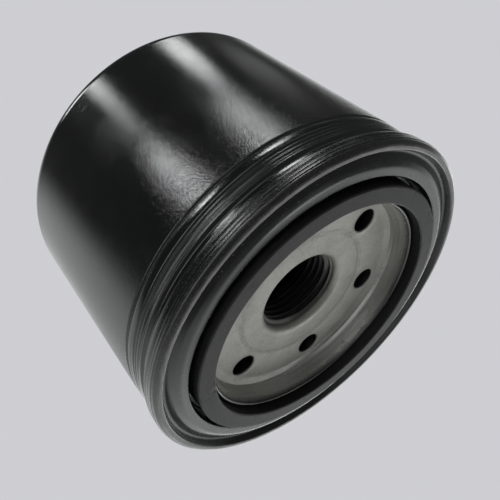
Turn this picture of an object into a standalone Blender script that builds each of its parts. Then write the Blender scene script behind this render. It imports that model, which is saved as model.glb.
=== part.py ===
"""Spin-on oil filter for a small engine, built as separate pieces.

The filter stands on its closed end. +Z is its axis and points to the threaded end,
and the origin is the middle of the closed end's lowest face. Everything is in metres.
"""

import math

import bmesh
import bpy
from mathutils import Matrix, Vector

MM = 0.001

# Driving dimensions
HEIGHT = 60.0 * MM
CAN_RADIUS = 38.0 * MM
CAN_END_RADIUS = 37.4 * MM
SEAM_RADIUS = 38.6 * MM
SEAM_DROP = 1.1 * MM
GASKET_OUTER = 30.4 * MM
GASKET_INNER = 26.6 * MM
GASKET_THICKNESS = 5.0 * MM
PLATE_DROP = 7.5 * MM
INLET_COUNT = 6
INLET_CIRCLE = 19.9 * MM
INLET_RADIUS = 2.5 * MM
THREAD_PITCH = 1.5875 * MM
THREAD_MINOR = 8.65 * MM
THREAD_MAJOR = 9.5 * MM

# Sheet thicknesses and clearances
CAN_SHEET = 0.5 * MM
LID_SHEET = 0.6 * MM
CAP_SHEET = 0.6 * MM
PLATE_SHEET = 2.8 * MM
GAP = 0.3 * MM
FINE_GAP = 0.2 * MM

# Heights that several pieces share
PLATE_TOP = HEIGHT - PLATE_DROP
PLATE_UNDER = PLATE_TOP - PLATE_SHEET
HUB_END = 43.7 * MM
UPPER_CAP_TOP = 41.6 * MM
LOWER_CAP_UNDER = 9.4 * MM
ADHESIVE_THICKNESS = 0.7 * MM
ELEMENT_RADIUS = 32.0 * MM
TUBE_OUTER = 13.0 * MM
RELIEF_HOLE = 6.0 * MM

# Facets around a turned piece: the outside ones, and the smaller ones inside
OUTER_STEPS = 48
INNER_STEPS = 36
WIRE_SIDES = 6


def clear_scene():
    """Remove whatever the file holds."""
    for thing in list(bpy.data.objects):
        bpy.data.objects.remove(thing, do_unlink=True)


def make_material(name, colour, roughness, metallic):
    """Principled material with one plain colour."""
    material = bpy.data.materials.new(name)
    material.use_nodes = True
    shader = material.node_tree.nodes["Principled BSDF"]
    shader.inputs["Base Color"].default_value = (*colour, 1.0)
    shader.inputs["Roughness"].default_value = roughness
    shader.inputs["Metallic"].default_value = metallic
    return material


def add_object(name, shape, material, origin=(0.0, 0.0, 0.0)):
    """Turn a bmesh into a smooth-shaded object whose origin is at the given place."""
    bmesh.ops.remove_doubles(shape, verts=shape.verts, dist=0.001 * MM)
    bmesh.ops.dissolve_degenerate(shape, edges=shape.edges, dist=0.001 * MM)
    bmesh.ops.recalc_face_normals(shape, faces=shape.faces)
    bmesh.ops.translate(shape, verts=shape.verts, vec=-Vector(origin))
    mesh = bpy.data.meshes.new(name)
    shape.to_mesh(mesh)
    shape.free()
    mesh.shade_smooth()
    mesh.set_sharp_from_angle(angle=math.radians(35))
    mesh.materials.append(material)
    thing = bpy.data.objects.new(name, mesh)
    thing.location = origin
    bpy.context.collection.objects.link(thing)
    return thing


def arc(middle, radius, start, end, count):
    """Points of an arc in the (radius, height) half plane, angles in degrees."""
    points = []
    for step in range(count + 1):
        angle = math.radians(start + (end - start) * step / count)
        points.append((middle[0] + radius * math.cos(angle), middle[1] + radius * math.sin(angle)))
    return points


def box_outline(inner, outer, low, high):
    """Rectangle in the (radius, height) half plane."""
    return [(inner, low), (outer, low), (outer, high), (inner, high)]


def spin_outline(shape, outline, steps, closed=True):
    """Turn an outline about Z inside a bmesh."""
    corners = [shape.verts.new((radius, 0.0, height)) for radius, height in outline]
    edges = [shape.edges.new(pair) for pair in zip(corners, corners[1:])]
    if closed and (outline[0][0] > 0.0 or outline[-1][0] > 0.0):
        edges.append(shape.edges.new((corners[-1], corners[0])))
    bmesh.ops.spin(
        shape,
        geom=corners + edges,
        cent=(0.0, 0.0, 0.0),
        axis=(0.0, 0.0, 1.0),
        angle=math.tau,
        steps=steps,
        use_merge=True,
    )


def turned(name, outline, material, steps=INNER_STEPS, origin=(0.0, 0.0, 0.0)):
    """Solid of revolution about Z."""
    shape = bmesh.new()
    spin_outline(shape, outline, steps)
    return add_object(name, shape, material, origin)


def cut_with(thing, cutter):
    """Subtract a cutter from an object with a Boolean modifier."""
    cutter.hide_render = True
    cutter.display_type = "WIRE"
    modifier = thing.modifiers.new("cut_" + cutter.name, "BOOLEAN")
    modifier.operation = "DIFFERENCE"
    modifier.solver = "EXACT"
    modifier.object = cutter


def rod_cutter(name, rods, radius, sides):
    """One cutter object made of straight rods, each given by its two ends."""
    shape = bmesh.new()
    for start, end in rods:
        start = Vector(start)
        run = Vector(end) - start
        turn = Vector((0.0, 0.0, 1.0)).rotation_difference(run)
        place = Matrix.Translation(start + run / 2) @ turn.to_matrix().to_4x4()
        bmesh.ops.create_cone(
            shape,
            cap_ends=True,
            segments=sides,
            radius1=radius,
            radius2=radius,
            depth=run.length,
            matrix=place,
        )
    mesh = bpy.data.meshes.new(name)
    shape.to_mesh(mesh)
    shape.free()
    thing = bpy.data.objects.new(name, mesh)
    bpy.context.collection.objects.link(thing)
    return thing


def box_cutter(name, size, place):
    """Cutter in the shape of a box."""
    shape = bmesh.new()
    bmesh.ops.create_cube(shape, size=1.0, matrix=place @ Matrix.Diagonal((*size, 1.0)))
    mesh = bpy.data.meshes.new(name)
    shape.to_mesh(mesh)
    shape.free()
    thing = bpy.data.objects.new(name, mesh)
    bpy.context.collection.objects.link(thing)
    return thing


def canister(material):
    """Drawn steel shell: closed end, tapering side, beads, neck and the flange in the seam."""
    corner = 4.0 * MM
    panel_radius = 17.0 * MM
    panel_depth = 1.0 * MM
    neck = 37.4 * MM
    flange_inner = 37.42 * MM
    flange_outer = 37.85 * MM
    flange_top = 57.2 * MM
    below = CAN_END_RADIUS - corner
    outside = [(0.0, panel_depth), (panel_radius, panel_depth), (panel_radius + 2.0 * MM, 0.0)]
    outside += arc((below, corner), corner, -90, 0, 5)
    outside += [
        (CAN_RADIUS, 46.7 * MM),
        (CAN_RADIUS - 0.25 * MM, 47.3 * MM),
        (CAN_RADIUS, 47.8 * MM),
        (CAN_RADIUS, 49.6 * MM),
        (CAN_RADIUS - 0.35 * MM, 50.1 * MM),
        (CAN_RADIUS, 50.6 * MM),
        (CAN_RADIUS - 0.1 * MM, 52.6 * MM),
        (neck, 53.4 * MM),
        (neck, 54.6 * MM),
        (flange_outer, 55.5 * MM),
        (flange_outer, flange_top),
    ]
    inside = [
        (flange_inner, flange_top),
        (flange_inner, 55.3 * MM),
        (neck - CAN_SHEET, 54.6 * MM),
        (neck - CAN_SHEET, 53.2 * MM),
        (CAN_RADIUS - 0.6 * MM - CAN_SHEET, 52.0 * MM),
        (CAN_RADIUS - 0.6 * MM - CAN_SHEET, 46.0 * MM),
    ]
    inside += arc((below, corner), corner - CAN_SHEET, 0, -90, 4)
    inside += [
        (panel_radius + 2.0 * MM, CAN_SHEET),
        (panel_radius, panel_depth + CAN_SHEET),
        (0.0, panel_depth + CAN_SHEET),
    ]
    return turned("canister", outside + inside, material, OUTER_STEPS)


def gasket_retainer(material):
    """Thin pressed lid: rolled seam, channel, round bead, gasket groove and dished inner wall."""
    seam_top = HEIGHT - SEAM_DROP
    seam_low = 54.9 * MM
    chuck_wall = 36.8 * MM
    channel_floor = 55.4 * MM
    bead_radius = 32.95 * MM
    bead_half_width = 1.8 * MM
    bead_middle = 56.9 * MM
    groove_outer = bead_radius - bead_half_width
    groove_floor = HEIGHT - GASKET_THICKNESS - GAP
    lip_outer = GASKET_INNER - GAP
    lip_top = HEIGHT - 2.2 * MM
    foot_radius = 24.3 * MM
    front = [
        (SEAM_RADIUS - LID_SHEET, seam_low),
        (SEAM_RADIUS, seam_low + 0.7 * MM),
        (SEAM_RADIUS, seam_top - 1.3 * MM),
        (SEAM_RADIUS - 0.4 * MM, seam_top - 0.2 * MM),
        (SEAM_RADIUS - 1.0 * MM, seam_top),
        (chuck_wall + 0.2 * MM, seam_top),
        (chuck_wall, seam_top - 0.3 * MM),
        (chuck_wall - 0.6 * MM, channel_floor + 0.5 * MM),
        (chuck_wall - 1.0 * MM, channel_floor),
        (chuck_wall - 1.6 * MM, channel_floor),
    ]
    front += arc((bead_radius, bead_middle), bead_half_width, 0, 180, 7)
    front += [
        (groove_outer, groove_floor),
        (lip_outer, groove_floor),
        (lip_outer, lip_top - 0.4 * MM),
        (lip_outer - 0.4 * MM, lip_top),
        (lip_outer - 0.8 * MM, lip_top - 0.3 * MM),
        (25.0 * MM, PLATE_TOP + 1.9 * MM),
        (foot_radius, PLATE_TOP + GAP),
    ]
    back = [
        (foot_radius + 0.7 * MM, PLATE_TOP + GAP),
        (lip_outer - 0.5 * MM, groove_floor - LID_SHEET),
        (groove_outer + LID_SHEET, groove_floor - LID_SHEET),
    ]
    back += arc((bead_radius, bead_middle), bead_half_width - LID_SHEET, 180, 0, 4)
    back += [
        (chuck_wall - 2.1 * MM, channel_floor - LID_SHEET),
        (chuck_wall - 0.6 * MM, channel_floor - LID_SHEET),
        (chuck_wall + 0.1 * MM, channel_floor + 0.1 * MM),
        (chuck_wall + 0.35 * MM, channel_floor + LID_SHEET),
        (chuck_wall + 0.35 * MM, seam_top - LID_SHEET),
        (SEAM_RADIUS - 0.5 * MM, seam_top - LID_SHEET),
        (SEAM_RADIUS - 0.5 * MM, seam_low + 1.0 * MM),
    ]
    return turned("gasket_retainer", front + back, material, OUTER_STEPS)


def seam_compound(material):
    """Sealing compound in the fold of the seam, above the can's flange."""
    outline = box_outline(37.42 * MM, 37.85 * MM, 57.4 * MM, 58.1 * MM)
    return turned("seam_compound", outline, material, OUTER_STEPS)


def sealing_gasket(material):
    """Square-cut rubber ring with small chamfers on its sealing face."""
    low = HEIGHT - GASKET_THICKNESS
    chamfer = 0.25 * MM
    outline = [
        (GASKET_INNER, low),
        (GASKET_OUTER, low),
        (GASKET_OUTER, HEIGHT - chamfer),
        (GASKET_OUTER - chamfer, HEIGHT),
        (GASKET_INNER + chamfer, HEIGHT),
        (GASKET_INNER, HEIGHT - chamfer),
    ]
    return turned("sealing_gasket", outline, material, OUTER_STEPS)


def add_thread(shape, low, high, mouth, steps):
    """Internal V thread: two rows of points a turn, crest and root, that follow the helix."""
    row_count = 2 * (math.ceil((high - low) / THREAD_PITCH) + 2)
    rows = []
    for row in range(row_count):
        ring = []
        for step in range(steps):
            height = low - THREAD_PITCH + THREAD_PITCH * (row / 2 + step / steps)
            radius = THREAD_MINOR if row % 2 else THREAD_MAJOR
            if height <= low or height >= high:
                radius = mouth
                height = min(max(height, low), high)
            angle = math.tau * step / steps
            place = (radius * math.cos(angle), radius * math.sin(angle), height)
            ring.append(shape.verts.new(place))
        rows.append(ring)
    for row in range(row_count - 1):
        for step in range(steps - 1):
            here, above = rows[row], rows[row + 1]
            shape.faces.new((here[step], here[step + 1], above[step + 1], above[step]))
        if row + 3 < row_count:
            last = steps - 1
            corners = (rows[row][last], rows[row + 2][0], rows[row + 3][0], rows[row + 1][last])
            shape.faces.new(corners)


def base_plate(material):
    """Tapped plate: inlet holes on a circle and a collar pulled inwards for the thread."""
    mouth = THREAD_MAJOR
    rounding = 1.7 * MM
    collar = 11.6 * MM
    step_inner = 25.2 * MM
    rim_top = HEIGHT - GASKET_THICKNESS - GAP - LID_SHEET - GAP
    rim_radius = 31.4 * MM
    thread_top = PLATE_TOP - rounding
    profile = [
        (mouth, HUB_END),
        (mouth + 0.6 * MM, HUB_END - 0.3 * MM),
        (collar, HUB_END - 0.3 * MM),
        (collar, PLATE_UNDER - 1.2 * MM),
        (collar + 1.2 * MM, PLATE_UNDER),
        (step_inner, PLATE_UNDER),
        (step_inner + 1.8 * MM, rim_top - PLATE_SHEET),
        (rim_radius, rim_top - PLATE_SHEET),
        (rim_radius, rim_top),
        (step_inner + 0.9 * MM, rim_top),
        (step_inner - 0.2 * MM, PLATE_TOP),
    ]
    profile += arc((mouth + rounding, thread_top), rounding, 90, 180, 4)
    shape = bmesh.new()
    spin_outline(shape, profile, INNER_STEPS, closed=False)
    add_thread(shape, HUB_END, thread_top, mouth, INNER_STEPS)
    plate = add_object("base_plate", shape, material)
    rods = []
    for index in range(INLET_COUNT):
        angle = math.tau * index / INLET_COUNT
        x, y = INLET_CIRCLE * math.cos(angle), INLET_CIRCLE * math.sin(angle)
        rods.append(((x, y, PLATE_UNDER - 1.0 * MM), (x, y, PLATE_TOP + 1.0 * MM)))
    cut_with(plate, rod_cutter("inlet_cutter", rods, INLET_RADIUS, 12))
    return plate


def check_valve_collar(material):
    """Flat inner part of the anti-drain-back rubber, clamped between the hub and the element."""
    low = UPPER_CAP_TOP + GAP
    high = HUB_END - 2 * GAP
    outline = [
        (9.9 * MM, low),
        (15.6 * MM, low),
        (16.0 * MM, low + 0.4 * MM),
        (16.0 * MM, high),
        (9.9 * MM, high),
    ]
    return turned("check_valve_collar", outline, material)


def check_valve_flap(material):
    """Soft lip of the same rubber: a shallow cone that closes the inlet holes from below."""
    foot = 43.6 * MM
    lip_top = PLATE_UNDER - GAP
    outline = [
        (16.4 * MM, foot),
        (17.2 * MM, foot + 0.1 * MM),
        (24.6 * MM, 47.3 * MM),
        (25.2 * MM, lip_top),
        (23.8 * MM, lip_top),
        (23.6 * MM, 48.0 * MM),
        (16.4 * MM, foot + 1.0 * MM),
    ]
    return turned("check_valve_flap", outline, material)


def upper_end_cap(material):
    """Pressed cap on the open end of the element, with its rim turned down."""
    hole = 12.4 * MM
    rim = ELEMENT_RADIUS + 0.4 * MM
    under = UPPER_CAP_TOP - CAP_SHEET
    outline = [
        (hole, under),
        (rim, under),
        (rim, under - 3.0 * MM),
        (rim + CAP_SHEET, under - 3.0 * MM),
        (rim + CAP_SHEET, UPPER_CAP_TOP),
        (hole, UPPER_CAP_TOP),
    ]
    return turned("upper_end_cap", outline, material)


def lower_end_cap(material):
    """Pressed cap at the closed end, with the relief valve's hole in its middle."""
    rim = ELEMENT_RADIUS + 0.4 * MM
    top = LOWER_CAP_UNDER + CAP_SHEET
    outline = [
        (RELIEF_HOLE, LOWER_CAP_UNDER),
        (rim + CAP_SHEET, LOWER_CAP_UNDER),
        (rim + CAP_SHEET, top + 3.0 * MM),
        (rim, top + 3.0 * MM),
        (rim, top),
        (RELIEF_HOLE, top),
    ]
    return turned("lower_end_cap", outline, material)


def adhesive_ring(name, low, material):
    """Flat ring of adhesive that holds the paper in a cap."""
    outline = box_outline(TUBE_OUTER + GAP, ELEMENT_RADIUS, low, low + ADHESIVE_THICKNESS)
    return turned(name, outline, material)


def paper_outline(side, thickness):
    """One face of the pleated paper in plan, offset from its middle line by half the sheet."""
    pleats = 36
    fold_out = ELEMENT_RADIUS - thickness / 2 - GAP
    fold_in = TUBE_OUTER + GAP + thickness / 2
    half_out = 0.65 * MM
    half_in = 0.35 * MM
    offset = side * thickness / 2
    points = []
    for pleat in range(pleats):
        middle = math.tau * pleat / pleats
        valley = middle + math.pi / pleats
        across_out = half_out + offset
        across_in = half_in - offset
        for angle, reach, across in (
            (middle, fold_out + offset, -across_out),
            (middle, fold_out + offset, across_out),
            (valley, fold_in + offset, -across_in),
            (valley, fold_in + offset, across_in),
        ):
            along = Vector((math.cos(angle), math.sin(angle)))
            sideways = Vector((-math.sin(angle), math.cos(angle)))
            points.append(along * reach + sideways * across)
    return points


def pleated_paper(material, low, high):
    """Filter medium folded into a star, standing between the two adhesive rings."""
    thickness = 0.5 * MM
    shape = bmesh.new()
    loops = []
    for side, height in ((1, low), (1, high), (-1, high), (-1, low)):
        loop = [shape.verts.new((*point, height)) for point in paper_outline(side, thickness)]
        loops.append(loop)
    for loop, following in zip(loops, loops[1:] + loops[:1]):
        for index, corner in enumerate(loop):
            after = (index + 1) % len(loop)
            shape.faces.new((corner, loop[after], following[after], following[index]))
    return add_object("pleated_paper", shape, material)


def pleat_clip(material, low, high):
    """Crimped metal strip over the outer fold that joins the paper's two ends."""
    half_width = 1.35 * MM
    half_slot = 1.1 * MM
    back = ELEMENT_RADIUS + 0.15 * MM
    slot_end = ELEMENT_RADIUS - 0.1 * MM
    front = ELEMENT_RADIUS - 3.4 * MM
    plan = [
        (front, -half_width),
        (back, -half_width),
        (back, half_width),
        (front, half_width),
        (front, half_slot),
        (slot_end, half_slot),
        (slot_end, -half_slot),
        (front, -half_slot),
    ]
    shape = bmesh.new()
    face = shape.faces.new([shape.verts.new((x, y, low)) for x, y in plan])
    grown = bmesh.ops.extrude_face_region(shape, geom=[face])
    raised = [item for item in grown["geom"] if isinstance(item, bmesh.types.BMVert)]
    bmesh.ops.translate(shape, verts=raised, vec=(0.0, 0.0, high - low))
    return add_object("pleat_clip", shape, material)


def centre_tube(material, low, high):
    """Perforated steel tube that keeps the paper from collapsing inwards."""
    sheet = 0.6 * MM
    rows = 4
    rods_per_row = 4
    hole_radius = 1.7 * MM
    tube = turned("centre_tube", box_outline(TUBE_OUTER - sheet, TUBE_OUTER, low, high), material)
    rods = []
    reach = TUBE_OUTER + 1.0 * MM
    for row in range(rows):
        height = low + (high - low) * (row + 1.2) / (rows + 1.4)
        for index in range(rods_per_row):
            angle = math.pi * (index + 0.5 * (row % 2)) / rods_per_row
            across = Vector((math.cos(angle), math.sin(angle), 0.0)) * reach
            middle = Vector((0.0, 0.0, height))
            rods.append((middle - across, middle + across))
    for index, rod in enumerate(rods):
        cut_with(tube, rod_cutter(f"tube_cutter_{index}", [rod], hole_radius, 8))
    return tube


def relief_valve_body(material):
    """Cage of the relief valve inside the tube: a foot, a windowed wall and a roof."""
    low = LOWER_CAP_UNDER + CAP_SHEET + GAP
    roof = 24.0 * MM
    wall = 8.8 * MM
    sheet = 0.7 * MM
    foot = 11.8 * MM
    outline = [
        (wall - sheet, low),
        (foot, low),
        (foot, low + sheet),
        (wall, low + sheet),
        (wall, roof),
        (3.5 * MM, roof),
        (3.5 * MM, roof - sheet),
        (wall - sheet, roof - sheet),
    ]
    body = turned("relief_valve_body", outline, material, 24)
    window = Vector((3.0 * wall, 5.0 * MM, 7.0 * MM))
    for angle in (45, 135):
        place = Matrix.Translation((0.0, 0.0, 17.0 * MM)) @ Matrix.Rotation(math.radians(angle), 4, "Z")
        cut_with(body, box_cutter(f"window_cutter_{angle}", window, place))
    return body


def coil_spring(name, material, radius, wire, low, high, turns, steps_a_turn, origin):
    """Round-wire coil spring whose wire touches the two end heights from inside."""
    count = round(turns * steps_a_turn)
    shape = bmesh.new()
    rings = []
    for step in range(count + 1):
        share = step / count
        angle = math.tau * turns * share
        height = low + wire + (high - low - 2 * wire) * share
        out = Vector((math.cos(angle), math.sin(angle), 0.0))
        ring = []
        for side in range(WIRE_SIDES):
            around = math.tau * side / WIRE_SIDES
            place = out * (radius + wire * math.cos(around))
            place.z = height + wire * math.sin(around)
            ring.append(shape.verts.new(place))
        rings.append(ring)
    for ring, following in zip(rings, rings[1:]):
        for side in range(WIRE_SIDES):
            after = (side + 1) % WIRE_SIDES
            shape.faces.new((ring[side], ring[after], following[after], following[side]))
    shape.faces.new(rings[0])
    shape.faces.new(rings[-1])
    return add_object(name, shape, material, origin)


def relief_valve(materials):
    """Cage, rubber seal, steel disc and spring of the relief valve."""
    seat = LOWER_CAP_UNDER + CAP_SHEET + GAP
    origin = (0.0, 0.0, seat)
    relief_valve_body(materials["zinc_steel"])
    seal_top = seat + 1.0 * MM
    seal = box_outline(0.0, 7.6 * MM, seat, seal_top)
    turned("relief_valve_seal", seal, materials["rubber"], 24, origin)
    disc_low = seal_top + FINE_GAP
    disc = [
        (0.0, disc_low),
        (7.6 * MM, disc_low),
        (7.6 * MM, disc_low + 0.8 * MM),
        (3.6 * MM, disc_low + 0.8 * MM),
        (3.0 * MM, disc_low + 3.0 * MM),
        (0.0, disc_low + 3.0 * MM),
    ]
    turned("relief_valve_disc", disc, materials["zinc_steel"], 24, origin)
    spring_low = disc_low + 0.8 * MM + GAP
    spring_high = 24.0 * MM - 0.7 * MM - GAP
    coil_spring(
        "relief_valve_spring",
        materials["spring_steel"],
        radius=5.4 * MM,
        wire=0.5 * MM,
        low=spring_low,
        high=spring_high,
        turns=5,
        steps_a_turn=14,
        origin=(0.0, 0.0, spring_high),
    )


def spring_seat(material):
    """Pressed ring that centres the element spring under the lower cap."""
    top = LOWER_CAP_UNDER - GAP
    sheet = 0.6 * MM
    outline = [
        (13.0 * MM, top - sheet),
        (17.0 * MM, top - sheet),
        (17.0 * MM, top - 2.0 * MM),
        (17.0 * MM + sheet, top - 2.0 * MM),
        (17.0 * MM + sheet, top),
        (13.0 * MM, top),
    ]
    return turned("spring_seat", outline, material)


def element_spring(material):
    """Flat-wound coil that presses the element against the threaded end."""
    low = 1.0 * MM + CAN_SHEET + GAP
    high = LOWER_CAP_UNDER - GAP - 0.6 * MM - GAP
    return coil_spring(
        "element_spring",
        material,
        radius=15.2 * MM,
        wire=0.8 * MM,
        low=low,
        high=high,
        turns=2.5,
        steps_a_turn=24,
        origin=(0.0, 0.0, low),
    )


def make_materials():
    """One material for each finish on the filter."""
    return {
        "black_paint": make_material("black_paint", (0.012, 0.013, 0.013), 0.25, 0.0),
        "lid_paint": make_material("lid_paint", (0.03, 0.032, 0.03), 0.4, 0.0),
        "plate_steel": make_material("plate_steel", (0.24, 0.24, 0.21), 0.5, 0.6),
        "gasket_rubber": make_material("gasket_rubber", (0.03, 0.03, 0.03), 0.7, 0.0),
        "compound": make_material("compound", (0.25, 0.06, 0.03), 0.6, 0.0),
        "rubber": make_material("rubber", (0.02, 0.02, 0.022), 0.6, 0.0),
        "cap_steel": make_material("cap_steel", (0.5, 0.5, 0.48), 0.4, 1.0),
        "adhesive": make_material("adhesive", (0.09, 0.1, 0.1), 0.6, 0.0),
        "paper": make_material("paper", (0.72, 0.5, 0.22), 0.85, 0.0),
        "zinc_steel": make_material("zinc_steel", (0.55, 0.55, 0.52), 0.35, 1.0),
        "spring_steel": make_material("spring_steel", (0.3, 0.3, 0.3), 0.3, 1.0),
    }


def filter_element(materials):
    """Caps, adhesive, paper, clip and centre tube."""
    lower_adhesive_low = LOWER_CAP_UNDER + CAP_SHEET + GAP
    upper_adhesive_low = UPPER_CAP_TOP - CAP_SHEET - GAP - ADHESIVE_THICKNESS
    paper_low = lower_adhesive_low + ADHESIVE_THICKNESS + FINE_GAP
    paper_high = upper_adhesive_low - FINE_GAP
    upper_end_cap(materials["cap_steel"])
    adhesive_ring("upper_adhesive", upper_adhesive_low, materials["adhesive"])
    pleated_paper(materials["paper"], paper_low, paper_high)
    pleat_clip(materials["zinc_steel"], paper_low, paper_high)
    tube_high = upper_adhesive_low + ADHESIVE_THICKNESS
    centre_tube(materials["cap_steel"], lower_adhesive_low, tube_high)
    adhesive_ring("lower_adhesive", lower_adhesive_low, materials["adhesive"])
    lower_end_cap(materials["cap_steel"])


def main():
    clear_scene()
    materials = make_materials()
    canister(materials["black_paint"])
    gasket_retainer(materials["lid_paint"])
    seam_compound(materials["compound"])
    sealing_gasket(materials["gasket_rubber"])
    base_plate(materials["plate_steel"])
    check_valve_collar(materials["rubber"])
    check_valve_flap(materials["rubber"])
    filter_element(materials)
    relief_valve(materials)
    spring_seat(materials["zinc_steel"])
    element_spring(materials["spring_steel"])


main()
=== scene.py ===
"""Looks of the spin-on oil filter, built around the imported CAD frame.

Lengths in the outlines are millimetres, and a piece's vertices are metres in the row frame:
+Z is the filter's axis and points to the threaded end, and the closed end stands on z = 0.
"""

import math

import bmesh
import bpy
from mathutils import Matrix, Vector, noise


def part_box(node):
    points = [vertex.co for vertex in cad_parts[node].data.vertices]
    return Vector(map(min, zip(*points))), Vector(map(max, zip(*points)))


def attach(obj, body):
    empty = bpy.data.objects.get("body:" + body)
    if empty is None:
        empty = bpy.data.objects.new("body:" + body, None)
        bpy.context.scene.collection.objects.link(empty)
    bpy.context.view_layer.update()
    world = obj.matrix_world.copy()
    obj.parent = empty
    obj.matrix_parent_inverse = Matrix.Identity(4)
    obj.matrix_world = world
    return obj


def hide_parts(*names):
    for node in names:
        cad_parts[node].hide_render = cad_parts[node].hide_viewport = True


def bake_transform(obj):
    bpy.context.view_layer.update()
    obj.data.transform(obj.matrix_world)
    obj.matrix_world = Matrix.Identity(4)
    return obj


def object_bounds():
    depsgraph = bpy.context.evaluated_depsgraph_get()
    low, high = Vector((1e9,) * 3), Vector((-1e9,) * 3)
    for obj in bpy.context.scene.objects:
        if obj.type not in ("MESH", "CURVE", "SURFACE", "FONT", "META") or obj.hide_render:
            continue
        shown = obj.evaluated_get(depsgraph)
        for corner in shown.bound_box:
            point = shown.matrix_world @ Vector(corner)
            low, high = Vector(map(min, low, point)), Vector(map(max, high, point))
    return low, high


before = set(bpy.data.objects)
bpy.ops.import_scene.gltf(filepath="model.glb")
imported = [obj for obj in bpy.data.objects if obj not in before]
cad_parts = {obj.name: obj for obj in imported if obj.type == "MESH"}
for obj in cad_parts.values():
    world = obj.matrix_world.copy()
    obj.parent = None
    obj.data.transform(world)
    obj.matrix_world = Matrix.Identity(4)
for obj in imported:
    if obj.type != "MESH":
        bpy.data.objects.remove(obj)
CAD_LOW, CAD_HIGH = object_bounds()

MM = 0.001
STEPS = 256
SMALL_STEPS = 128

# Places that several pieces share, in millimetres
HEIGHT = CAD_HIGH.z / MM
PLATE_TOP = HEIGHT - 7.5
INLET_CIRCLE = 19.9
INLET_COUNT = 6
INLET_RADIUS = 2.72
THREAD_PITCH = 1.5875
THREAD_MINOR = 8.65
THREAD_MAJOR = 9.5
PLATE_SHEET = 2.8
PLEATS = 36
TUBE_INNER = 12.4
TUBE_OUTER = 13.0
RELIEF_HOLE = 6.0

# How near two points of a mesh may be before they are welded, in millimetres
WELD = 0.0005
CUT_WELD = 0.002

# The camera, in millimetres and as directions in the row frame
CAMERA_PLACE = (14.71, 102.88, 108.25)
CAMERA_RIGHT = (0.6244, -0.5151, 0.5872)
CAMERA_UP = (0.7714, 0.2883, -0.5673)
CAMERA_FORWARD = (-0.1229, -0.8072, -0.5773)
SENSOR_WIDTH = 36.0
FOCAL_LENGTH = 40.33


def turned_box(node):
    """Outer radius, lowest and highest height of a CAD node, in millimetres."""
    low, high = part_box(node)
    return high.x / MM, low.z / MM, high.z / MM


# ---------------------------------------------------------------- outlines and meshes


def rounded(corners, step=14.0, support=0.16):
    """Closed outline in metres from (radius, height, rounding) corners in millimetres.

    A rounded corner becomes an arc, with a support point beyond each end that keeps the shading true.
    """
    outline = []
    count = len(corners)
    for index, (radius, height, rounding) in enumerate(corners):
        here = Vector((radius, height))
        before = Vector(corners[index - 1][:2])
        after = Vector(corners[(index + 1) % count][:2])
        shares = [0.47 if corners[other % count][2] > 0.0 else 0.97 for other in (index - 1, index + 1)]
        arrive = here - before
        leave = after - here
        turn = arrive.angle_signed(leave) if arrive.length and leave.length else 0.0
        if rounding <= 0.0 or abs(turn) < 0.01:
            outline.append(here)
            continue
        reach = rounding * math.tan(abs(turn) / 2)
        reach = min(reach, shares[0] * arrive.length, shares[1] * leave.length)
        bend = reach / math.tan(abs(turn) / 2)
        start = here - arrive.normalized() * reach
        end = here + leave.normalized() * reach
        bisector = (leave.normalized() - arrive.normalized()).normalized()
        middle = here + bisector * math.hypot(reach, bend)
        pieces = max(2, math.ceil(math.degrees(abs(turn)) / step))
        if arrive.length > 2 * reach + 4 * support:
            outline.append(start - arrive.normalized() * support)
        spoke = start - middle
        for piece in range(pieces + 1):
            outline.append(middle + Matrix.Rotation(-turn * piece / pieces, 2) @ spoke)
        if leave.length > 2 * reach + 4 * support:
            outline.append(end + leave.normalized() * support)
    return [(max(point.x, 0.0) * MM, point.y * MM) for point in outline]


def spin_outline(shape, outline, steps, closed=True):
    """Turn an outline about Z inside a bmesh."""
    corners = [shape.verts.new((radius, 0.0, height)) for radius, height in outline]
    edges = [shape.edges.new(pair) for pair in zip(corners, corners[1:])]
    if closed and (outline[0][0] > 0.0 or outline[-1][0] > 0.0):
        edges.append(shape.edges.new((corners[-1], corners[0])))
    bmesh.ops.spin(
        shape,
        geom=corners + edges,
        cent=(0.0, 0.0, 0.0),
        axis=(0.0, 0.0, 1.0),
        angle=math.tau,
        steps=steps,
        use_merge=True,
    )


def finish_mesh(name, shape, sharp=40.0):
    """Object from a bmesh, welded, with outward faces and smooth shading up to an angle."""
    bmesh.ops.remove_doubles(shape, verts=shape.verts, dist=WELD * MM)
    bmesh.ops.dissolve_degenerate(shape, edges=shape.edges, dist=WELD * MM)
    bmesh.ops.recalc_face_normals(shape, faces=shape.faces)
    mesh = bpy.data.meshes.new(name)
    shape.to_mesh(mesh)
    shape.free()
    mesh.shade_smooth()
    mesh.set_sharp_from_angle(angle=math.radians(sharp))
    thing = bpy.data.objects.new(name, mesh)
    bpy.context.scene.collection.objects.link(thing)
    return thing


def turned(name, corners, steps=STEPS, waver=None):
    """Closed solid of revolution. waver(point) may move each vertex a little."""
    shape = bmesh.new()
    spin_outline(shape, rounded(corners), steps)
    bmesh.ops.remove_doubles(shape, verts=shape.verts, dist=WELD * MM)
    if waver:
        for vertex in shape.verts:
            vertex.co = waver(vertex.co.copy())
    return finish_mesh(name, shape)


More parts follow.
